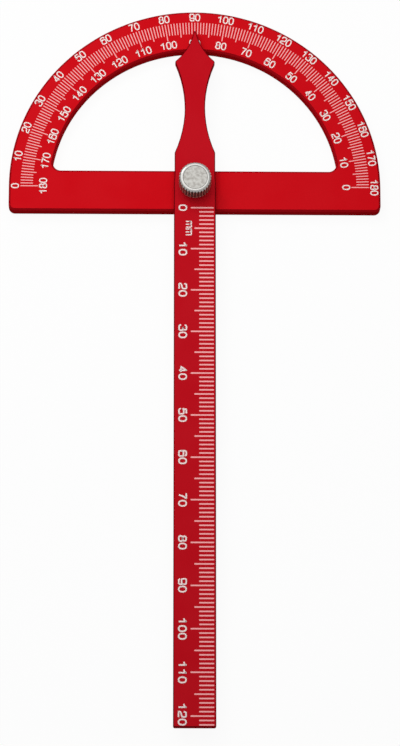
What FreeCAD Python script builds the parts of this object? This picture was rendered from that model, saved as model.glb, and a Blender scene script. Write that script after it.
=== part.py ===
"""Bevel protractor: a D-shaped head plate, a waisted rule blade that turns on it, and a knurled lock nut.

The tool lies on its back: +Z points out of the scale faces, +Y along the pointer, and the origin is on the
pivot axis in the plane of the back. Millimetres throughout.
"""
import FreeCAD, Part
import math
import os

import Sketcher

# ---------------------------------------------------------------- driving dimensions
DIMENSIONS = {
    # head plate
    "head_radius": 43.65,
    "window_radius": 33.85,
    "bar_above": 3.95,
    "bar_below": 5.95,
    "plate_thick": 3.2,
    "head_corner": 1.5,
    "window_corner": 1.8,
    "face_break": 0.45,
    "back_break": 0.25,
    # rule blade, its waist and its pointer
    "rule_width": 9.75,
    "rule_reach": 128.4,
    "rule_thick": 2.0,
    "rule_corner": 0.4,
    "pad_width": 9.5,
    "pad_foot": 2.0,
    "neck_start": 7.7,
    "neck_radius": 28.0,
    "shoulder_width": 9.56,
    "shoulder_reach": 30.3,
    "shoulder_round": 0.6,
    "tip_reach": 38.0,
    "tip_radius": 13.0,
    "tip_flat": 0.44,
    "rule_break": 0.2,
    # pivot stud, an M3 flush-head stud pressed into the plate
    "stud_radius": 1.5,
    "stud_head_radius": 2.3,
    "stud_head_thick": 1.0,
    "stud_top": 9.0,
    "stud_end_break": 0.25,
    "bore_gap": 0.05,
    # washers
    "slip_washer_thick": 0.25,
    "washer_radius": 3.5,
    "clamp_washer_thick": 0.5,
    "clamp_washer_bore": 2.25,
    "clamp_washer_flare": 2.6,
    "clamp_washer_break": 0.1,
    # knurled thumb nut
    "nut_radius": 3.8,
    "nut_high": 4.6,
    "nut_rim_round": 0.75,
    "nut_foot_chamfer": 0.3,
    "nut_dish_radius": 2.9,
    "nut_dish_deep": 0.12,
    "nut_bore_deep": 3.15,
    "nut_bore_point": 0.7,
    "knurl_teeth": 32,
    "knurl_deep": 0.32,
    "knurl_overcut": 0.1,
    "knurl_share": 0.9,
    "spigot_radius": 2.15,
    "spigot_lip": 2.45,
    "spigot_long": 0.42,
    "spigot_neck": 0.22,
}

doc = FreeCAD.newDocument("bevel_protractor")
sheet = doc.addObject("Spreadsheet::Sheet", "dims")
for row, (alias, size) in enumerate(DIMENSIONS.items(), start=1):
    sheet.set(f"A{row}", alias)
    sheet.set(f"B{row}", str(size))
    sheet.setAlias(f"B{row}", alias)
doc.recompute()

# two points nearer than this are the same point
SAME_PLACE = 1e-4

# heights of the stacked pieces above the back of the plate
BLADE_FLOOR = "dims.plate_thick + dims.slip_washer_thick"
BLADE_FACE = BLADE_FLOOR + " + dims.rule_thick"
NUT_FLOOR = BLADE_FACE + " + dims.clamp_washer_thick"
NUT_TOP = NUT_FLOOR + " + dims.nut_high"


# ---------------------------------------------------------------- helpers
def value(expression):
    """The number that an expression of the sheet's aliases gives."""
    return float(sheet.evalExpression(expression.replace("dims.", "")))


def new_body(name):
    body = doc.addObject("PartDesign::Body", name)
    body.Label = name
    return body


def new_sketch(body, role, name, lift=None):
    """A sketch on one of the body's own origin planes, raised along the plane's normal by an expression."""
    plane = [f for f in body.Origin.OriginFeatures if f.Role == role][0]
    sketch = body.newObject("Sketcher::SketchObject", name)
    sketch.AttachmentSupport = (plane, [""])
    sketch.MapMode = "FlatFace"
    if lift:
        sketch.setExpression("AttachmentOffset.Base.z", lift)
    return sketch


def bound(sketch, kind, elements, expression):
    """A dimension of a sketch that follows an expression."""
    index = sketch.addConstraint(Sketcher.Constraint(kind, *elements, value(expression)))
    sketch.setExpression(f"Constraints[{index}]", expression)


def pin_point(sketch, geometry, end, across, along):
    """Fixes a sketch point by expressions for its distance across and along from the sketch's origin."""
    for kind, axis, expression in (("DistanceX", -2, across), ("DistanceY", -1, along)):
        if expression == "0":
            sketch.addConstraint(Sketcher.Constraint("PointOnObject", geometry, end, axis))
        elif value(expression) > 0:
            bound(sketch, kind, (-1, 1, geometry, end), expression)
        else:
            bound(sketch, kind, (geometry, end, -1, 1), f"-({expression})")


def polygon(sketch, corners):
    """A closed loop of straight lines through corners, each a pair of expressions."""
    points = [FreeCAD.Vector(value(across), value(along), 0) for across, along in corners]
    first = sketch.GeometryCount
    for start, end in zip(points, points[1:] + points[:1]):
        sketch.addGeometry(Part.LineSegment(start, end))
    for number, (across, along) in enumerate(corners):
        before = first + (number - 1) % len(corners)
        sketch.addConstraint(Sketcher.Constraint("Coincident", before, 2, first + number, 1))
        pin_point(sketch, first + number, 1, across, along)


def open_run(sketch, corners):
    """Straight lines from corner to corner, each corner a pair of expressions."""
    points = [FreeCAD.Vector(value(across), value(along), 0) for across, along in corners]
    first = sketch.GeometryCount
    for start, end in zip(points, points[1:]):
        sketch.addGeometry(Part.LineSegment(start, end))
    pin_point(sketch, first, 1, *corners[0])
    for number, (across, along) in enumerate(corners[1:]):
        if number:
            before = first + number - 1
            sketch.addConstraint(Sketcher.Constraint("Coincident", before, 2, first + number, 1))
        pin_point(sketch, first + number, 2, across, along)


def circle(sketch, radius):
    """A circle about the sketch's origin."""
    index = sketch.addGeometry(Part.Circle(FreeCAD.Vector(), FreeCAD.Vector(0, 0, 1), value(radius)))
    sketch.addConstraint(Sketcher.Constraint("Coincident", index, 3, -1, 1))
    bound(sketch, "Radius", (index,), radius)


def pad(body, sketch, height):
    feature = body.newObject("PartDesign::Pad", sketch.Name + "_pad")
    feature.Profile = sketch
    feature.setExpression("Length", height)
    doc.recompute()
    return feature


def cut(body, sketch, depth=None, reverse=False):
    """A pocket, through everything unless a depth is given, that has to take material away."""
    before = body.Shape.Volume
    feature = body.newObject("PartDesign::Pocket", sketch.Name + "_cut")
    feature.Profile = sketch
    feature.Type = 0 if depth else 1
    feature.Reversed = reverse
    if depth:
        feature.setExpression("Length", depth)
    doc.recompute()
    if not body.Shape.Volume < before:
        raise RuntimeError(sketch.Name + " cuts nothing")
    return feature


def turn(body, sketch, kind="PartDesign::Revolution"):
    """Turns a profile of the XZ plane about the pivot axis, to add a solid or to cut one."""
    feature = body.newObject(kind, sketch.Name + "_turned")
    feature.Profile = sketch
    feature.ReferenceAxis = (sketch, ["V_Axis"])
    feature.Angle = 360
    doc.recompute()
    return feature


def dress(body, kind, edges, expression):
    """A chamfer or a fillet on those edges of the body's last feature that the test picks."""
    base = body.Tip
    names = [f"Edge{n}" for n, edge in enumerate(base.Shape.Edges, start=1) if edges(edge)]
    if not names:
        raise RuntimeError(f"{body.Label}: no edge to {kind}")
    feature = body.newObject("PartDesign::" + kind, f"{body.Name}_{kind}")
    feature.Base = (base, names)
    feature.setExpression("Radius" if kind == "Fillet" else "Size", expression)
    doc.recompute()
    return feature


def upright(edge):
    """Whether an edge stands along Z."""
    ends = [vertex.Point for vertex in edge.Vertexes]
    return len(ends) == 2 and (ends[1] - ends[0]).cross(FreeCAD.Vector(0, 0, 1)).Length < SAME_PLACE


def at_height(edge, expression):
    """Whether both ends of an edge lie at that height."""
    return all(abs(vertex.Z - value(expression)) < SAME_PLACE for vertex in edge.Vertexes)


def at_level(edge, expression):
    """Whether an upright edge stands at that distance along the pointer's direction."""
    return abs(edge.Vertexes[0].Y - value(expression)) < SAME_PLACE


def reach(edge):
    """The greatest distance from the pivot axis that an edge's ends come to."""
    return max(math.hypot(v.X, v.Y) for v in edge.Vertexes)


# ---------------------------------------------------------------- head plate
def make_protractor_plate():
    """A half-round plate with a D window, cut off below the pivot by its straight reference edge."""
    body = new_body("protractor_plate")
    outline = new_sketch(body, "XY_Plane", "plate_outline")
    radius, below = value("dims.head_radius"), value("dims.bar_below")
    arch = Part.Circle(FreeCAD.Vector(), FreeCAD.Vector(0, 0, 1), radius)
    outline.addGeometry(Part.ArcOfCircle(arch, 0, math.pi))
    corners = [(-radius, 0), (-radius, -below), (radius, -below), (radius, 0)]
    for start, end in zip(corners, corners[1:]):
        outline.addGeometry(Part.LineSegment(FreeCAD.Vector(*start, 0), FreeCAD.Vector(*end, 0)))
    for joined in ((0, 2, 1, 1), (1, 2, 2, 1), (2, 2, 3, 1), (3, 2, 0, 1)):
        outline.addConstraint(Sketcher.Constraint("Coincident", *joined))
    outline.addConstraint(Sketcher.Constraint("Coincident", 0, 3, -1, 1))
    outline.addConstraint(Sketcher.Constraint("PointOnObject", 0, 1, -1))
    outline.addConstraint(Sketcher.Constraint("PointOnObject", 0, 2, -1))
    outline.addConstraint(Sketcher.Constraint("Vertical", 1))
    outline.addConstraint(Sketcher.Constraint("Horizontal", 2))
    bound(outline, "Radius", (0,), "dims.head_radius")
    bound(outline, "DistanceY", (2, 1, -1, 1), "dims.bar_below")
    outline.addConstraint(Sketcher.Constraint("Vertical", 3))
    pad(body, outline, "dims.plate_thick")

    window = new_sketch(body, "XY_Plane", "window")
    radius, above = value("dims.window_radius"), value("dims.bar_above")
    half = math.sqrt(radius**2 - above**2)
    rise = math.asin(above / radius)
    arch = Part.Circle(FreeCAD.Vector(), FreeCAD.Vector(0, 0, 1), radius)
    window.addGeometry(Part.ArcOfCircle(arch, rise, math.pi - rise))
    window.addGeometry(Part.LineSegment(FreeCAD.Vector(-half, above, 0), FreeCAD.Vector(half, above, 0)))
    window.addConstraint(Sketcher.Constraint("Coincident", 0, 2, 1, 1))
    window.addConstraint(Sketcher.Constraint("Coincident", 1, 2, 0, 1))
    window.addConstraint(Sketcher.Constraint("Coincident", 0, 3, -1, 1))
    window.addConstraint(Sketcher.Constraint("Horizontal", 1))
    bound(window, "Radius", (0,), "dims.window_radius")
    bound(window, "DistanceY", (-1, 1, 1, 1), "dims.bar_above")
    cut(body, window, reverse=True)

    dress(body, "Fillet", lambda e: upright(e) and at_level(e, "-dims.bar_below"), "dims.head_corner")
    dress(body, "Fillet", lambda e: upright(e) and at_level(e, "dims.bar_above"), "dims.window_corner")
    dress(body, "Chamfer", lambda e: at_height(e, "dims.plate_thick"), "dims.face_break")
    dress(body, "Chamfer", lambda e: at_height(e, "0"), "dims.back_break")

    seat = new_sketch(body, "XZ_Plane", "stud_seat")
    polygon(seat, [("0", "0"), *stud_head_profile(), ("dims.stud_radius", "dims.plate_thick"),
                   ("0", "dims.plate_thick")])
    turn(body, seat, "PartDesign::Groove")
    return body


def stud_head_profile():
    """The stud head's edge in the XZ plane, which its seat in the plate shares."""
    return [("dims.stud_head_radius", "0"), ("dims.stud_head_radius", "dims.stud_head_thick"),
            ("dims.stud_radius", "dims.stud_head_thick")]


# ---------------------------------------------------------------- rule blade
def make_rule_blade():
    """A parallel rule below the pivot, and a waisted neck above it that ends in a hollow-ground pointer."""
    body = new_body("rule_blade")
    outline = new_sketch(body, "XY_Plane", "blade_outline", BLADE_FLOOR)
    right_side, right_flank = blade_side(outline, 1)
    left_side, left_flank = blade_side(outline, -1)
    foot = ((right_side, 1), (left_side, 1))
    tip = ((right_flank, 1), (left_flank, 2))
    for ends in (foot, tip):
        line = outline.addGeometry(Part.LineSegment(*[outline.getPoint(*end) for end in ends]))
        for line_end, end in enumerate(ends, start=1):
            outline.addConstraint(Sketcher.Constraint("Coincident", line, line_end, *end))
    pad(body, outline, "dims.rule_thick")

    bore = new_sketch(body, "XY_Plane", "pivot_bore", BLADE_FLOOR)
    circle(bore, "dims.stud_radius + dims.bore_gap")
    cut(body, bore, reverse=True)
    dress(body, "Fillet", lambda e: upright(e) and at_level(e, "-dims.rule_reach"), "dims.rule_corner")
    dress(body, "Fillet", lambda e: upright(e) and at_level(e, "dims.shoulder_reach"), "dims.shoulder_round")
    bore_edge = value("dims.stud_radius + dims.bore_gap") + SAME_PLACE
    dress(body, "Chamfer", lambda e: on_face(e) and reach(e) > bore_edge, "dims.rule_break")
    return body


def blade_side(sketch, side):
    """One side of the blade from its foot to its point, right for side 1 and left for side -1.

    The pad that turns on the stud is milled a little narrower than the rule, which widens below pad_foot.
    Gives the side's first line and its last arc.
    """
    corners = [("dims.rule_width / 2", "-dims.rule_reach"), ("dims.rule_width / 2", "0"),
               ("dims.pad_width / 2", "dims.pad_foot"), ("dims.pad_width / 2", "dims.neck_start"),
               ("dims.shoulder_width / 2", "dims.shoulder_reach"), ("dims.tip_flat / 2", "dims.tip_reach")]
    if side < 0:
        corners = [(f"-({across})", along) for across, along in corners]
    first = sketch.GeometryCount
    straight, (pad_corner, shoulder, point) = corners[:4], corners[3:]
    open_run(sketch, straight)
    before, before_end = sketch.GeometryCount - 1, 2
    low_end, high_end = (2, 1) if side > 0 else (1, 2)
    hollows = ((pad_corner, shoulder, "dims.neck_radius"), (shoulder, point, "dims.tip_radius"))
    for low, high, radius in hollows:
        arc = sketch.addGeometry(hollow_arc(low, high, radius, side))
        sketch.addConstraint(Sketcher.Constraint("Coincident", before, before_end, arc, low_end))
        pin_point(sketch, arc, high_end, *high)
        bound(sketch, "Radius", (arc,), radius)
        before, before_end = arc, high_end
    return first, arc


def hollow_arc(low, high, radius, side):
    """An arc between two corners that bows in towards the blade's middle."""
    low, high = [FreeCAD.Vector(value(across), value(along), 0) for across, along in (low, high)]
    radius = value(radius)
    chord = high - low
    outward = FreeCAD.Vector(chord.y, -chord.x, 0).normalize() * side
    centre = (low + high) * 0.5 + outward * math.sqrt(radius**2 - (chord.Length / 2) ** 2)
    angles = [math.atan2(corner.y - centre.y, corner.x - centre.x) for corner in (low, high)]
    if side > 0:
        # the right side's arc crosses the direction in which an angle jumps from pi to -pi
        angles = [angle % (2 * math.pi) for angle in angles]
    ring = Part.Circle(centre, FreeCAD.Vector(0, 0, 1), radius)
    return Part.ArcOfCircle(ring, min(angles), max(angles))


def on_face(edge):
    """Whether an edge lies in one of the blade's two faces."""
    return at_height(edge, BLADE_FACE) or at_height(edge, BLADE_FLOOR)


# ---------------------------------------------------------------- pivot stud
def make_pivot_stud():
    """A stud pressed into the plate with its head flush in the back, for the blade to turn on."""
    body = new_body("pivot_stud")
    profile = new_sketch(body, "XZ_Plane", "stud_profile")
    polygon(profile, [("0", "0"), *stud_head_profile(),
                      ("dims.stud_radius", "dims.stud_top - dims.stud_end_break"),
                      ("dims.stud_radius - dims.stud_end_break", "dims.stud_top"), ("0", "dims.stud_top")])
    turn(body, profile)
    return body


# ---------------------------------------------------------------- washers
def make_slip_washer():
    """A thin plain washer between plate and blade, so that the blade turns without scuffing the plate."""
    body = new_body("slip_washer")
    ring = new_sketch(body, "XY_Plane", "slip_ring", "dims.plate_thick")
    circle(ring, "dims.washer_radius")
    circle(ring, "dims.stud_radius + dims.bore_gap")
    pad(body, ring, "dims.slip_washer_thick")
    return body


def make_clamp_washer():
    """The captive washer under the nut; its bore opens downwards for the nut's rolled lip."""
    body = new_body("clamp_washer")
    profile = new_sketch(body, "XZ_Plane", "clamp_profile")
    shelf = BLADE_FACE + " + dims.spigot_neck"
    polygon(profile, [("dims.clamp_washer_flare", BLADE_FACE), ("dims.washer_radius", BLADE_FACE),
                      ("dims.washer_radius", NUT_FLOOR), ("dims.clamp_washer_bore", NUT_FLOOR),
                      ("dims.clamp_washer_bore", shelf)])
    turn(body, profile)
    rim = value("dims.clamp_washer_flare")
    dress(body, "Chamfer", lambda e: at_height(e, NUT_FLOOR) and reach(e) > rim, "dims.clamp_washer_break")
    return body


# ---------------------------------------------------------------- thumb nut
def make_thumb_nut():
    """A blind knurled nut, dished on top, with a spigot rolled over under its captive washer."""
    body = new_body("thumb_nut")
    profile = new_sketch(body, "XZ_Plane", "nut_profile")
    foot = NUT_FLOOR + " - dims.spigot_long"
    bore_top = NUT_FLOOR + " + dims.nut_bore_deep"
    thread = "dims.stud_radius + dims.bore_gap"
    polygon(profile, [
        ("0", bore_top + " + dims.nut_bore_point"),
        (thread, bore_top),
        (thread, foot),
        ("dims.spigot_lip", foot),
        ("dims.spigot_radius", BLADE_FACE + " + dims.spigot_neck"),
        ("dims.spigot_radius", NUT_FLOOR),
        ("dims.nut_radius - dims.nut_foot_chamfer", NUT_FLOOR),
        ("dims.nut_radius", NUT_FLOOR + " + dims.nut_foot_chamfer"),
        ("dims.nut_radius", NUT_TOP),
        ("dims.nut_dish_radius", NUT_TOP),
        ("dims.nut_dish_radius - dims.nut_dish_deep", NUT_TOP + " - dims.nut_dish_deep"),
        ("0", NUT_TOP + " - dims.nut_dish_deep"),
    ])
    turn(body, profile)
    rim = value("dims.nut_radius") - SAME_PLACE
    dress(body, "Fillet", lambda e: at_height(e, NUT_TOP) and reach(e) > rim, "dims.nut_rim_round")

    notch = new_sketch(body, "XY_Plane", "knurl_notch", NUT_FLOOR)
    half_pitch = "dims.nut_radius * tan(180 / dims.knurl_teeth)"
    polygon(notch, [("dims.nut_radius - dims.knurl_deep", "0"),
                    ("dims.nut_radius + dims.knurl_overcut", f"-({half_pitch}) * dims.knurl_share"),
                    ("dims.nut_radius + dims.knurl_overcut", f"({half_pitch}) * dims.knurl_share")])
    groove = cut(body, notch, depth="dims.nut_high", reverse=True)
    knurl = body.newObject("PartDesign::PolarPattern", "knurl")
    knurl.Originals = [groove]
    knurl.Axis = (notch, ["N_Axis"])
    knurl.Angle = 360
    knurl.setExpression("Occurrences", "dims.knurl_teeth")
    body.Tip = knurl
    doc.recompute()
    return body


# ---------------------------------------------------------------- build, check, write
pieces = [make_protractor_plate(), make_rule_blade(), make_pivot_stud(), make_slip_washer(),
          make_clamp_washer(), make_thumb_nut()]
doc.recompute()
for item in doc.Objects:
    if "Invalid" in item.State or "Error" in item.State:
        raise RuntimeError(f"{item.Name} failed: {item.State}")
os.makedirs("parts", exist_ok=True)
for piece in pieces:
    if piece.Shape.isNull() or not piece.Shape.isValid() or len(piece.Shape.Solids) != 1:
        raise RuntimeError(f"{piece.Label} is not one valid solid")
    piece.Shape.exportStep(f"parts/{piece.Label}.step")
    print(f"{piece.Label}: {piece.Shape.Volume:.1f} mm3, {len(piece.Shape.Faces)} faces")
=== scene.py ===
# %% [markdown]
# # A bevel protractor in red anodised aluminium
#
# The tool is two flat sheets and one pivot. A half-round head carries two degree scales, a slim
# rule swings over it with a pointer at its short end, and a knurled nut clamps the two. The parts
# come in as finished solids, so the work here is what a workshop would do last: the colour of the
# anodising, the white printed scales, the turned nickel of the nut, and the light that shows them.
#
# The solids could be modelled again in Blender, but their sizes and joints are already right. So
# they stay as they are, and only get better finishes.

# %% Load the parts
import math

import bpy
from mathutils import Matrix, Vector


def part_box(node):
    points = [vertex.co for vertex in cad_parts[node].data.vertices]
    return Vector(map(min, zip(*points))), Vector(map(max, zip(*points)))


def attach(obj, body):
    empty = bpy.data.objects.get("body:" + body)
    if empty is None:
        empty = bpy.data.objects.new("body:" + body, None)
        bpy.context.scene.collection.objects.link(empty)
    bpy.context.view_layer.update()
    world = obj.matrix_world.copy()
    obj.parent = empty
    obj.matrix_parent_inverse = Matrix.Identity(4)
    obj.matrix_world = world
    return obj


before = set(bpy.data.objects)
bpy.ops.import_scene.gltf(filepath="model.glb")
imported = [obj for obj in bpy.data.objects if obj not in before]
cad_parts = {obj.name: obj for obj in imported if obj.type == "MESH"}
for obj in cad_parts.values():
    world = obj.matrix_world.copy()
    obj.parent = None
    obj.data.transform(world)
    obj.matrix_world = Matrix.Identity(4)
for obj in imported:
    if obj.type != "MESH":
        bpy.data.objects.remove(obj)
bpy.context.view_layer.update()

MM = 0.001
print("parts:", sorted(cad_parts))

# %% [markdown]
# ## Where things are
#
# Printing has to land exactly on the metal. The places could be typed in as numbers, but then a
# change to a part would leave its scale hanging in the air. It is safer to read each face's height
# and each edge from the parts themselves, so the scales follow the metal.

# %% Read the faces and edges that the printing needs
plate_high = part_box("protractor_plate")[1]
blade_low, blade_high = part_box("rule_blade")
nut_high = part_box("thumb_nut")[1]
plate_face = plate_high.z
blade_face = blade_high.z
rule_edge = blade_high.x
rule_end = blade_low.y
rim_radius = plate_high.x
nut_radius = nut_high.x
print(f"plate face {plate_face / MM:.2f} mm, blade face {blade_face / MM:.2f} mm")
print(f"rim radius {rim_radius / MM:.2f} mm, rule edge {rule_edge / MM:.2f} mm")

# %% [markdown]
# ## The camera
#
# The tool is seen from almost straight above, leaning back a little so that the side of the nut and
# the lower edge of the head show. A long lens keeps the rule from tapering. The camera could be
# aimed with a Track To constraint, but two plain angles and a distance say the same thing and are
# easier to change.

# %% Set up the camera
VIEW_TILT = math.radians(14.98)
VIEW_YAW = math.radians(-0.9985)
VIEW_DISTANCE = 843.9 * MM
VIEW_TARGET = Vector((1.225 * MM, -45.29 * MM, plate_face))
FOCAL_LENGTH = 175.85
SENSOR_WIDTH = 36

bpy.ops.object.camera_add(rotation=(VIEW_TILT, VIEW_YAW, 0))
camera = bpy.context.object
camera.name = "camera"
camera.data.sensor_width = SENSOR_WIDTH
camera.data.lens = FOCAL_LENGTH
bpy.context.view_layer.update()
camera.location = VIEW_TARGET + camera.matrix_world.to_3x3() @ Vector((0, 0, VIEW_DISTANCE))
bpy.context.scene.camera = camera
bpy.context.scene.view_settings.view_transform = "Standard"
print("camera at", [round(c / MM, 1) for c in camera.location], "mm")

# %% [markdown]
# ## Shader maths as plain expressions
#
# A finish is a small sum: grain plus mottling, times a colour. Wiring that by hand in the node
# editor is slow to read afterwards. So one small class wraps a node's socket, and an expression
# such as `1 - mask` then adds the Math nodes itself. Every other node comes from one method,
# `node`, which takes the node's kind, its settings, its inputs and the output to hand back. A third
# class does the same for a whole material.

# %% Wrap a node socket so that Python's operators add nodes
class Value:
    """A number, colour or shader that the nodes work out at each point of a surface."""

    def __init__(self, wiring, socket):
        self.wiring = wiring
        self.socket = socket

    def maths(self, operation, *others):
        """This value and others put through one Math node."""
        settings = {"operation": operation}
        return self.wiring.node("ShaderNodeMath", settings, dict(enumerate((self, *others))))

    def __add__(self, other):
        return self.maths("ADD", other)

    def __sub__(self, other):
        return self.maths("SUBTRACT", other)

    def __mul__(self, other):
        return self.maths("MULTIPLY", other)

    def __rsub__(self, other):
        return self.wiring.node("ShaderNodeMath", {"operation": "SUBTRACT"}, {0: other, 1: self})

    __radd__ = __add__
    __rmul__ = __mul__

    def step(self, low, high):
        """0 below low, 1 above high, and a smooth rise between them."""
        settings = {"interpolation_type": "SMOOTHSTEP"}
        inputs = {"Value": self, "From Min": low, "From Max": high}
        return self.wiring.node("ShaderNodeMapRange", settings, inputs)


print("sums of sockets ready")

# %% Add and plug nodes with one method
class Wiring:
    """A node tree that is built with one method, which adds a node and plugs its sockets."""

    def __init__(self, tree):
        self.tree = tree

    def plug(self, socket, value):
        """Links a Value to a socket, and sets anything else as the socket's own number or colour."""
        if isinstance(value, Value):
            self.tree.links.new(value.socket, socket)
        else:
            socket.default_value = value

    def node(self, kind, settings, inputs, output=0):
        """Adds a node, sets it, plugs its inputs and hands back one of its outputs."""
        made = self.tree.nodes.new(kind)
        for name, setting in settings.items():
            setattr(made, name, setting)
        for socket, value in inputs.items():
            self.plug(made.inputs[socket], value)
        return Value(self, made.outputs[output])

    def parts(self, vector):
        """The three numbers of a vector."""
        return [self.node("ShaderNodeSeparateXYZ", {}, {0: vector}, axis) for axis in "XYZ"]

    def camera_sees(self):
        """1 for what the camera sees, directly, mirrored or through glass, 0 for bounced light."""
        rays = ("Is Camera Ray", "Is Glossy Ray", "Is Transmission Ray")
        direct, mirrored, through = [self.node("ShaderNodeLightPath", {}, {}, ray) for ray in rays]
        return direct.maths("MAXIMUM", mirrored).maths("MAXIMUM", through)


print("wiring ready")

# %% Wrap a material and its colours
# A Mix node has sockets for numbers, vectors and colours. These are the places of the ones that
# colours need.
MIX_SHARE = 0
MIX_FIRST = 6
MIX_SECOND = 7
MIX_RESULT = 2
SOFT_DETAIL = 2.0
FINE_DETAIL = 3


class Finish(Wiring):
    """A material whose Principled shader takes plain values, colours and Value expressions."""

    def __init__(self, name, **sockets):
        self.material = bpy.data.materials.new(name)
        self.material.use_nodes = True
        super().__init__(self.material.node_tree)
        self.shader = self.tree.nodes["Principled BSDF"]
        self.set(**sockets)

    def set(self, **sockets):
        """Sets the shader's sockets by name: base_color, roughness, specular_ior_level and so on."""
        named = {socket.name.lower().replace(" ", "_"): socket for socket in self.shader.inputs}
        for name, value in sockets.items():
            self.plug(named[name], value)

    def place(self):
        """Where the point is on the object, in metres."""
        return self.node("ShaderNodeTexCoord", {}, {}, "Object")

    def upward(self):
        """How much the surface lies flat: 1 on a level face, 0 on an upright wall."""
        normal = self.node("ShaderNodeTexCoord", {}, {}, "Normal")
        return self.parts(normal)[2].maths("ABSOLUTE")

    def noise(self, size, detail=SOFT_DETAIL):
        """Soft blotches from 0 to 1, each about as wide as size."""
        inputs = {"Vector": self.place(), "Scale": 1 / size, "Detail": detail}
        return self.node("ShaderNodeTexNoise", {}, inputs)

    def mix(self, share, first, second):
        """The first colour where share is 0, the second where it is 1."""
        inputs = {MIX_SHARE: share, MIX_FIRST: first, MIX_SECOND: second}
        return self.node("ShaderNodeMix", {"data_type": "RGBA"}, inputs, MIX_RESULT)

    def bump(self, height, depth):
        """The surface normal, pushed in and out by height times depth in metres."""
        inputs = {"Height": height, "Strength": 1.0, "Distance": depth}
        return self.node("ShaderNodeBump", {}, inputs)


def colour(red, green, blue):
    """The shader's linear colour for a colour written as sRGB screen values from 0 to 255."""
    def linear(value):
        value /= 255
        return value / 12.92 if value <= 0.04045 else ((value + 0.055) / 1.055) ** 2.4

    return (linear(red), linear(green), linear(blue), 1.0)


print("materials ready")

# %% [markdown]
# ## Red anodising
#
# Anodising grows a hard clear skin on aluminium, which is then dyed. The dye sits in the metal's
# own satin surface, so the colour is deep, and what little mirrors in it is red too. Up close it
# has a fine even grain, and clouds of slightly weaker dye. The broken edges are painted a darker
# red than the faces, as painted shade, and frame the sheet with a thin line.
#
# It could be painted on as one red, but then the sheets look like plastic. The grain here is noise
# that moves the normal, and the painted edge shade goes where faces slope: only the broken
# edges of the sheet do.

# %% Make the anodised finishes
GRAIN = 0.16 * MM
GRAIN_DEPTH = 0.004 * MM
GRAIN_ROUGHNESS = 0.1
CLOUD = 9 * MM
CLOUD_BAND = (0.3, 0.7)
CLOUD_SHARE = 0.1
ANODISED_ROUGHNESS = 0.42
ANODISED_METALLIC = 0.1
WALL_TO_BREAK = (0.35, 0.6)
BREAK_TO_FACE = (0.8, 0.97)


def anodised(name, dye, weak, edge_shade):
    """Anodised metal in its dye, with clouds of weak dye, and painted shade on the broken edges."""
    finish = Finish(name, metallic=ANODISED_METALLIC, specular_tint=dye, specular_ior_level=0.0)
    upward = finish.upward()
    broken_edge = upward.step(*WALL_TO_BREAK) * (1 - upward.step(*BREAK_TO_FACE))
    clouds = finish.noise(CLOUD).step(*CLOUD_BAND)
    grain = finish.noise(GRAIN, detail=FINE_DETAIL)
    dyed = finish.mix(clouds * CLOUD_SHARE, dye, weak)
    # Painted shade: the broken edges are coloured a darker red than the faces.
    finish.set(
        base_color=finish.mix(broken_edge, dyed, edge_shade),
        roughness=ANODISED_ROUGHNESS + grain * GRAIN_ROUGHNESS,
        normal=finish.bump(grain, GRAIN_DEPTH),
    )
    return finish.material


def paint(node_name, material):
    """Gives a part one material in place of its own."""
    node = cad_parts[node_name]
    node.data.materials.clear()
    node.data.materials.append(material)


# Each list: the dye, the weak dye, and a darker red painted as shade on the broken edges.
plate_reds = [colour(200, 14, 24), colour(214, 42, 50), colour(168, 13, 23)]
blade_reds = [colour(187, 17, 29), colour(202, 42, 52), colour(116, 9, 17)]
paint("protractor_plate", anodised("red_anodised", *plate_reds))
paint("rule_blade", anodised("red_anodised_blade", *blade_reds))
print("anodised finishes on the plate and the blade")

# %% [markdown]
# ## Turned and knurled nickel
#
# The nut is turned on a lathe, knurled with straight teeth and plated. Its dished face keeps fine
# rings from the tool and soft blotches where the plating has dulled. Its rim has no blotches and is
# painted lighter, as a painted highlight. A thin dark ring of painted shade marks the wall of the
# dish, and the knurled sides are painted dark, near black between the teeth, as painted shade and
# painted dark reflection.
#
# It could all be painted on by hand. But the rings, the rim, the wall and the bottoms of the teeth
# follow the distance from the nut's axis, so they are worked out from that, and only the blotches
# are noise. The painted dark sides also lose most of their metallic share, so that they stay dark.

# %% Describe turned metal
RING_PITCH = 0.11 * MM
RING_SHARE = 0.25
SCUFF = 0.7 * MM
SCUFF_SHARE = 0.6
SCUFF_ROUGHNESS = 0.16
TURNED_DEPTH = 0.006 * MM


class Turned(Finish):
    """Metal from a lathe, with fine rings round the pivot and small scuffs."""

    def __init__(self, name, roughness):
        super().__init__(name, metallic=1.0)
        across, along = self.parts(self.place())[:2]
        self.radius = (across * across + along * along).maths("SQRT")
        self.scuffs = self.noise(SCUFF, detail=FINE_DETAIL)
        rings = (self.radius * (2 * math.pi / RING_PITCH)).maths("SINE")
        self.set(
            roughness=roughness + self.scuffs * SCUFF_ROUGHNESS,
            normal=self.bump(rings * RING_SHARE + self.scuffs * SCUFF_SHARE, TURNED_DEPTH),
        )


print("turned metal ready")

# %% Plate the nut
NICKEL_ROUGHNESS = 0.14
DISH_RADIUS = nut_radius - 0.98 * MM
WALL_STARTS = (DISH_RADIUS - 0.08 * MM, DISH_RADIUS - 0.02 * MM)
WALL_ENDS = (DISH_RADIUS + 0.06 * MM, DISH_RADIUS + 0.12 * MM)
WALL_SHADE_SHARE = 0.2
TOOTH_RISES = (nut_radius - 0.26 * MM, nut_radius - 0.06 * MM)
SIDE_TO_TOP = (0.15, 0.7)
BLOTCH_BAND = (0.3, 0.75)
# How much of the metallic share the painted dark sides of the nut lose.
SIDE_SHADE_SHARE = 0.85


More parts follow.
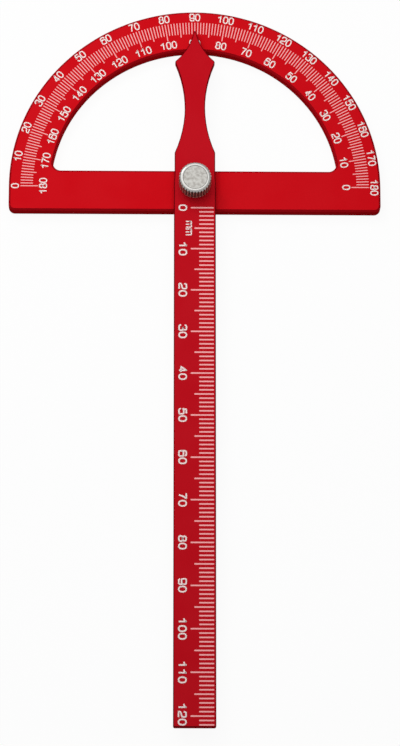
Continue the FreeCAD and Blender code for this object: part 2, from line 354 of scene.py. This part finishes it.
def knurled_nickel():
    """Painted highlight on the rim, blotches in the dish, painted shade on its wall and the sides.
    """
    finish = Turned("knurled_nickel", NICKEL_ROUGHNESS)
    side = 1 - finish.upward().step(*SIDE_TO_TOP)
    past_wall = finish.radius.step(*WALL_ENDS)
    dish_wall_shade = finish.radius.step(*WALL_STARTS) * (1 - past_wall)
    tooth_root_shade = 1 - finish.radius.step(*TOOTH_RISES)
    blotches = finish.scuffs.step(*BLOTCH_BAND)
    blotched = finish.mix(blotches, colour(142, 141, 137), colour(116, 113, 109))
    # The rim has no blotches and is painted lighter than the dish: a painted highlight.
    plated = finish.mix(past_wall, blotched, colour(156, 155, 152))
    # A thin dark ring on the wall of the dish: painted shade.
    plated = finish.mix(dish_wall_shade * WALL_SHADE_SHARE, plated, colour(70, 66, 64))
    # The knurled sides are painted dark, near black between the teeth: painted shade and painted
    # dark reflection.
    side_shade = finish.mix(tooth_root_shade, colour(168, 152, 140), colour(24, 18, 17))
    # The sides also lose most of their metallic share so that they stay dark, which is painted shade
    # too.
    finish.set(base_color=finish.mix(side, plated, side_shade), metallic=1 - side * SIDE_SHADE_SHARE)
    return finish.material


paint("thumb_nut", knurled_nickel())
print("nickel on the nut")

# %% [markdown]
# ## Hidden pieces
#
# The stud and the clamp washer are plain steel, and the slip washer is a thin sheet of dark
# plastic. From above none of them shows, and the stud's head lies in the back of the tool. They
# could be left grey. But a tool with joints gets taken apart, so each has a short finish, made with
# the helpers above.

# %% Finish the hidden stud and washers
STEEL_ROUGHNESS = 0.3
DULL_BAND = (0.4, 0.7)
DULL_SHARE = 0.5
PLASTIC_ROUGHNESS = 0.5
SPECKLE = 0.3 * MM
SPECKLE_SHARE = 0.3
SPECKLE_DEPTH = 0.002 * MM


def turned_steel():
    """Plain steel, duller where it is scuffed."""
    finish = Turned("turned_steel", STEEL_ROUGHNESS)
    dull = finish.scuffs.step(*DULL_BAND) * DULL_SHARE
    finish.set(base_color=finish.mix(dull, colour(196, 196, 198), colour(128, 126, 124)))
    return finish.material


def smooth_plastic(name, tone, light):
    """Sheet plastic with a faint speckle from tone to light."""
    finish = Finish(name, roughness=PLASTIC_ROUGHNESS)
    speckle = finish.noise(SPECKLE)
    finish.set(
        base_color=finish.mix(speckle * SPECKLE_SHARE, tone, light),
        normal=finish.bump(speckle, SPECKLE_DEPTH),
    )
    return finish.material


steel = turned_steel()
paint("pivot_stud", steel)
paint("clamp_washer", steel)
paint("slip_washer", smooth_plastic("slip_sheet", colour(40, 40, 42), colour(70, 70, 72)))
print("finishes on the stud and the washers")

# %% [markdown]
# ## White ink
#
# Scales like these are often screen printed in white before the last sealing bath. The ink is a
# film far thinner than a hair, and a little uneven, so the red shows faintly through it. Fine lines
# take less ink than the bolder figures and come out pinker, so there are two inks. It could all be
# a colour mask in the red shader, but real geometry keeps a crisp edge at any distance, and goes
# with the model when it is exported.

# %% Make the ink
INK_FILM = 0.012 * MM
INK_ROUGHNESS = 0.5
THIN_PATCH = 0.35 * MM
THIN_BAND = (0.4, 0.8)
THIN_SHARE = 0.3


def white_ink(name, full, thin):
    """Ink whose film is full in places and thin in others, where the red below shows through."""
    finish = Finish(name, roughness=INK_ROUGHNESS)
    patches = finish.noise(THIN_PATCH, detail=FINE_DETAIL).step(*THIN_BAND)
    finish.set(base_color=finish.mix(patches * THIN_SHARE, full, thin))
    return finish.material


figure_ink = white_ink("figure_ink", colour(255, 234, 231), colour(255, 196, 194))
line_ink = white_ink("line_ink", colour(255, 174, 175), colour(255, 134, 139))
print("ink film", INK_FILM / MM, "mm")

# %% [markdown]
# ## Graduation lines
#
# A scale is one line, repeated. Each length of line is modelled once: a box at its size, whose
# corners are bevelled in edit mode, because ink never prints a perfectly square end. Copies then go
# round the head by turning about the pivot, or down the rule in steps of a millimetre. An Array
# modifier could step them too, but every fifth and tenth line is longer, so a loop that picks the
# length reads more plainly.

# %% Model one line
CORNER_SHARE = 0.3
CORNER_STEPS = 2


def alone(piece):
    """Only this piece is selected and active."""
    bpy.ops.object.select_all(action="DESELECT")
    piece.select_set(True)
    bpy.context.view_layer.objects.active = piece


def printed_line(length, width):
    """A line along X from the origin, with softened corners, half sunk in the XY plane."""
    bpy.ops.object.select_all(action="DESELECT")
    bpy.ops.mesh.primitive_cube_add(
        size=1,
        location=(length / 2, 0, 0),
        scale=(length, width, 2 * INK_FILM),
    )
    line = bpy.context.object
    bpy.ops.object.transform_apply(location=True, rotation=True, scale=True)
    bpy.ops.object.mode_set(mode="EDIT")
    bpy.ops.mesh.select_mode(type="EDGE")
    bpy.ops.mesh.select_all(action="DESELECT")
    bpy.ops.object.mode_set(mode="OBJECT")
    for edge in line.data.edges:
        start, end = [line.data.vertices[i].co for i in edge.vertices]
        edge.select = abs(start.z - end.z) > INK_FILM
    bpy.ops.object.mode_set(mode="EDIT")
    bpy.ops.mesh.bevel(offset=width * CORNER_SHARE, segments=CORNER_STEPS)
    bpy.ops.object.mode_set(mode="OBJECT")
    return line


print("line helper ready")

# %% Set out copies and join them into one piece
def stamp(master, places):
    """Copies of a master, each with its own mesh, carried to its place."""
    copies = []
    for place in places:
        copy = master.copy()
        copy.data = master.data.copy()
        copy.data.transform(place)
        bpy.context.collection.objects.link(copy)
        copies.append(copy)
    return copies


def print_piece(name, prints, body, ink):
    """Joins prints into one piece of ink that rides with a body."""
    alone(prints[0])
    for other in prints[1:]:
        other.select_set(True)
    bpy.ops.object.join()
    piece = bpy.context.object
    piece.name = name
    piece.data.materials.append(ink)
    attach(piece, body)
    print(f"{name}: {len(piece.data.polygons)} faces")


def turn(degrees):
    """A turn about the pivot, anticlockwise as seen from above."""
    return Matrix.Rotation(math.radians(degrees), 4, "Z")


def shift(across, along, up=0):
    """A move across the rule, along it towards the pointer, and up."""
    return Matrix.Translation((across, along, up))


def graduations(count, lengths, width, place):
    """Lines 0 to count, each as long as the longest division that it falls on."""
    prints = []
    for division, length in lengths.items():
        master = printed_line(length, width)
        longer = [other for other in lengths if other > division]
        own = [n for n in range(0, count + 1, division) if all(n % other for other in longer)]
        prints += stamp(master, [place(number) for number in own])
        bpy.data.objects.remove(master)
    return prints


print("copy helpers ready")

# %% Print the degree lines
HALF_TURN = 180
DEGREE_OUTER = rim_radius - 2.75 * MM
DEGREE_LENGTHS = {1: 2.9 * MM, 5: 3.6 * MM, 10: 4.1 * MM}
DEGREE_WIDTH = 0.22 * MM


def degree_place(number):
    """The line of a degree starts on the outer circle and runs towards the pivot."""
    outward = shift(0, 0, plate_face) @ turn(HALF_TURN - number)
    return outward @ shift(DEGREE_OUTER, 0) @ turn(HALF_TURN)


degree_lines = graduations(HALF_TURN, DEGREE_LENGTHS, DEGREE_WIDTH, degree_place)
print_piece("degree_lines", degree_lines, "head", line_ink)

# %% Print the millimetre lines
RULE_ZERO = -5.9 * MM
RULE_LAST = 122
LINE_START = rule_edge - 0.48 * MM
MILLIMETRE_LENGTHS = {1: 3.4 * MM, 5: 4.5 * MM, 10: 5.35 * MM}
MILLIMETRE_WIDTH = 0.34 * MM


def millimetre_place(number):
    """The line of a millimetre starts just inside the graduated edge and runs across the rule."""
    return shift(LINE_START, RULE_ZERO - number * MM, blade_face) @ turn(HALF_TURN)


millimetre_lines = graduations(RULE_LAST, MILLIMETRE_LENGTHS, MILLIMETRE_WIDTH, millimetre_place)
print_piece("millimetre_lines", millimetre_lines, "blade", line_ink)

# %% [markdown]
# ## Figures
#
# The figures are plain upright numerals. A font would set them quickly, but a built-in one has its
# own shapes and weight, and another font would be a file from outside. So each numeral is drawn as
# with a lettering pen, of one width and along a few strokes. A stroke is a smooth curve pulled
# towards its points, and a point given twice makes a corner. The curve gets the pen's width,
# becomes a mesh, and is pressed flat.
#
# At its own mark the last figure of the rule would run over the end of the metal, so it moves up a
# little.

# %% List the strokes of each numeral
# Points run from -0.5 to 0.5 across and from 0 to 1 upwards, and steer the middle of the pen.
STROKES = {
    "0": [[(-0.5, 0), (0.5, 0), (0.5, 1), (-0.5, 1)]],
    "1": [[(-0.5, 0.7), (-0.06, 0.75), (0.1, 1), (0.1, 1), (0.1, 0)]],
    "2": [
        [(-0.46, 0.68), (-0.46, 1), (0, 1), (0.48, 1), (0.48, 0.7), (0.48, 0.44), (-0.5, 0.3),
         (-0.5, 0), (-0.5, 0), (0.5, 0)],
    ],
    "3": [
        [(-0.45, 0.76), (-0.45, 1), (0, 1), (0.43, 1), (0.43, 0.77), (0.43, 0.54), (-0.1, 0.54)],
        [(-0.1, 0.54), (0.5, 0.54), (0.5, 0.27), (0.5, 0), (0, 0), (-0.5, 0), (-0.5, 0.27)],
    ],
    "4": [[(0.2, 0), (0.2, 1), (0.2, 1), (-0.5, 0.27), (-0.5, 0.27), (0.5, 0.27)]],
    "5": [
        [(0.42, 1), (-0.34, 1), (-0.34, 1), (-0.44, 0.5), (-0.44, 0.5), (-0.2, 0.66), (0.06, 0.66),
         (0.5, 0.66), (0.5, 0.33), (0.5, 0), (0, 0), (-0.46, 0), (-0.49, 0.26)],
    ],
    "6": [
        [(0.44, 0.78), (0.4, 1), (0.04, 1), (-0.5, 1), (-0.5, 0.42), (-0.5, 0), (0, 0), (0.5, 0),
         (0.5, 0.31), (0.5, 0.62), (0.02, 0.62), (-0.38, 0.62), (-0.49, 0.36)],
    ],
    "7": [[(-0.5, 1), (0.5, 1), (0.5, 1), (0, 0.5), (-0.16, 0)]],
    "8": [
        [(-0.43, 0.53), (0.43, 0.53), (0.43, 1), (-0.43, 1)],
        [(-0.5, 0), (0.5, 0), (0.5, 0.53), (-0.5, 0.53)],
    ],
    "m": [
        [(-0.5, 0), (-0.5, 1)],
        [(-0.5, 0.55), (-0.5, 0.96), (-0.25, 0.96), (0, 0.96), (0, 0.6), (0, 0.6), (0, 0)],
        [(0, 0.55), (0, 0.96), (0.25, 0.96), (0.5, 0.96), (0.5, 0.6), (0.5, 0.6), (0.5, 0)],
    ],
}
STROKES["9"] = [[(-x, 1 - y) for x, y in stroke] for stroke in STROKES["6"]]
CLOSED = {"0", "8"}
print("strokes for", " ".join(STROKES))

# %% Draw the numerals and write with them
CURVE_STEPS = 5
CURVE_ORDER = 3
PEN_STEPS = 1


class Lettering:
    """A set of numerals of one size, each drawn once and then copied."""

    def __init__(self, height, width, pitch, pen):
        self.height = height
        self.width = width
        self.pitch = pitch
        self.pen = pen
        self.masters = {}

    def master(self, character):
        """The drawing that every print of this character is copied from."""
        if character not in self.masters:
            self.masters[character] = self.draw(character)
        return self.masters[character]

    def draw(self, character):
        """One character about the origin, as curves of the pen's width pressed to the ink's film."""
        bpy.ops.object.select_all(action="DESELECT")
        bpy.ops.curve.primitive_nurbs_path_add(location=(0, 0, 0))
        drawing = bpy.context.object
        line = drawing.data
        line.splines.clear()
        line.resolution_u = CURVE_STEPS
        line.bevel_depth = self.pen / 2
        line.bevel_resolution = PEN_STEPS
        line.use_fill_caps = True
        for stroke in STROKES[character]:
            spline = line.splines.new("NURBS")
            spline.points.add(len(stroke) - 1)
            for point, (x, y) in zip(spline.points, stroke):
                across = x * (self.width - self.pen)
                along = (y - 0.5) * (self.height - self.pen)
                point.co = (across, along, 0, 1)
            spline.use_cyclic_u = character in CLOSED
            spline.use_endpoint_u = character not in CLOSED
            spline.order_u = CURVE_ORDER
        alone(drawing)
        bpy.ops.object.convert(target="MESH")
        drawing = bpy.context.object
        drawing.data.transform(Matrix.Diagonal((1, 1, 2 * INK_FILM / self.pen, 1)))
        return drawing

    def write(self, text, place):
        """Prints of a text, centred on a place."""
        prints = []
        for index, character in enumerate(text):
            aside = (index - (len(text) - 1) / 2) * self.pitch
            prints += stamp(self.master(character), [place @ shift(aside, 0)])
        return prints

    def half_length(self, text):
        """Half of a printed text's length."""
        return ((len(text) - 1) * self.pitch + self.width) / 2

    def put_away(self):
        """Removes the masters, so that only their copies stay."""
        for master in self.masters.values():
            bpy.data.objects.remove(master)
        self.masters = {}


print("lettering ready")

# %% Print the figures of the degree scales
FIGURE_STEP = 10
OUTER_FIGURES = rim_radius - 1.47 * MM
INNER_FIGURES = rim_radius - 8.05 * MM
degree_figures = Lettering(height=1.98 * MM, width=1.32 * MM, pitch=1.34 * MM, pen=0.33 * MM)


def figure_place(degrees, radius):
    """Upright on the circle: the figure's foot is towards the pivot."""
    return shift(0, 0, plate_face) @ turn(90 - degrees) @ shift(0, radius)


outer_figures = []
inner_figures = []
for degrees in range(0, HALF_TURN + 1, FIGURE_STEP):
    outer_figures += degree_figures.write(str(degrees), figure_place(degrees, OUTER_FIGURES))
    other_way = str(HALF_TURN - degrees)
    inner_figures += degree_figures.write(other_way, figure_place(degrees, INNER_FIGURES))
degree_figures.put_away()
print_piece("outer_figures", outer_figures, "head", figure_ink)
print_piece("inner_figures", inner_figures, "head", figure_ink)

# %% Print the figures of the rule
FIGURE_LINE = rule_edge - 7.675 * MM
UNIT_LINE = rule_edge - 6.325 * MM
UNIT_MARK = 5
END_ROOM = 0.28 * MM
rule_figures = Lettering(height=2.1 * MM, width=1.66 * MM, pitch=1.76 * MM, pen=0.41 * MM)
unit_sign = Lettering(height=1.68 * MM, width=1.72 * MM, pitch=1.86 * MM, pen=0.32 * MM)


def rule_place(number, across):
    """Reading down the rule: the top of a figure faces the graduated edge."""
    return shift(across, RULE_ZERO - number * MM, blade_face) @ turn(-90)


def mark_inside(number):
    """The figure's own mark, or as near to it as leaves room before the rule's end."""
    lowest = rule_end + END_ROOM + rule_figures.half_length(str(number))
    return min(number, (RULE_ZERO - lowest) / MM)


rule_prints = []
for number in range(0, RULE_LAST, FIGURE_STEP):
    place = rule_place(mark_inside(number), FIGURE_LINE)
    rule_prints += rule_figures.write(str(number), place)
rule_figures.put_away()
print_piece("rule_figures", rule_prints, "blade", figure_ink)
unit_prints = unit_sign.write("mm", rule_place(UNIT_MARK, UNIT_LINE))
unit_sign.put_away()
print_piece("unit_sign", unit_prints, "blade", figure_ink)

# %% [markdown]
# ## Floor and light
#
# A small red tool is best shown on white. A pale floor lit to pure white would take so much light
# that the red washes out. Instead the floor keeps a modest tone for the light that it bounces, and
# looks white only to the camera and in reflections, with the tool's shadow still mixed in.
#
# At the pivot, a good third of the light comes from a soft ceiling, brightest overhead and dark
# towards the walls, so upright edges fall dark. About half comes from a soft lamp hung close above
# the head, so the light fades down the rule. A smaller lamp gives the rest, and puts a glint on the
# upper left of the nut's rim. The camera doesn't see the lamps.

# %% Lay the floor
FLOOR_SIZE = 4.0
FLOOR_DROP = 0.02 * MM
SHADOW_SHARE = 0.07
FLOOR_ROUGHNESS = 0.9
BOUNCE_TONE = colour(130, 130, 130)
SEEN_TONE = colour(248, 248, 248)

bpy.ops.object.select_all(action="DESELECT")
bpy.ops.mesh.primitive_plane_add(size=FLOOR_SIZE, location=(0, 0, -FLOOR_DROP))
floor = bpy.context.object
floor.name = "floor"
paper = Finish("pale_floor", roughness=FLOOR_ROUGHNESS, specular_ior_level=0.0)
seen = paper.camera_sees()
paper.set(base_color=paper.mix(seen, BOUNCE_TONE, SEEN_TONE))
lit = Value(paper, paper.shader.outputs[0])
glow = paper.node("ShaderNodeEmission", {}, {"Strength": 1.0})
shown = paper.node("ShaderNodeMixShader", {}, {0: seen * (1 - SHADOW_SHARE), 1: lit, 2: glow})
paper.plug(paper.tree.nodes["Material Output"].inputs["Surface"], shown)
floor.data.materials.append(paper.material)
print("floor laid")

# %% Light the room and hang two lamps
WHITE = (1, 1, 1, 1)
CEILING_TONE = 0.77
KEY_POWER = 0.41
KEY_SIZE = 0.3
KEY_PLACE = Vector((-0.05, 0.08, 0.25))
GLINT_POWER = 0.22
GLINT_SIZE = 0.09
GLINT_PLACE = Vector((-0.16, 0.22, 0.29))

world = bpy.data.worlds.new("soft_room")
bpy.context.scene.world = world
world.use_nodes = True
room = Wiring(world.node_tree)
upward = room.parts(room.node("ShaderNodeTexCoord", {}, {}, "Generated"))[2].maths("MAXIMUM", 0)
ceiling = upward * upward * CEILING_TONE
seen = room.camera_sees()
backdrop = world.node_tree.nodes["Background"]
room.plug(backdrop.inputs["Color"], WHITE)
room.plug(backdrop.inputs["Strength"], ceiling * (1 - seen) + seen)


def hang_lamp(name, place, size, power):
    """A square lamp that faces the pivot and stays out of the camera's sight."""
    bpy.ops.object.light_add(type="AREA", location=place)
    lamp = bpy.context.object
    lamp.name = name
    lamp.data.shape = "SQUARE"
    lamp.data.size = size
    lamp.data.energy = power
    lamp.rotation_euler = place.to_track_quat("Z", "Y").to_euler()
    lamp.visible_camera = False


hang_lamp("key_lamp", KEY_PLACE, KEY_SIZE, KEY_POWER)
hang_lamp("glint_lamp", GLINT_PLACE, GLINT_SIZE, GLINT_POWER)
print("lamps hung")
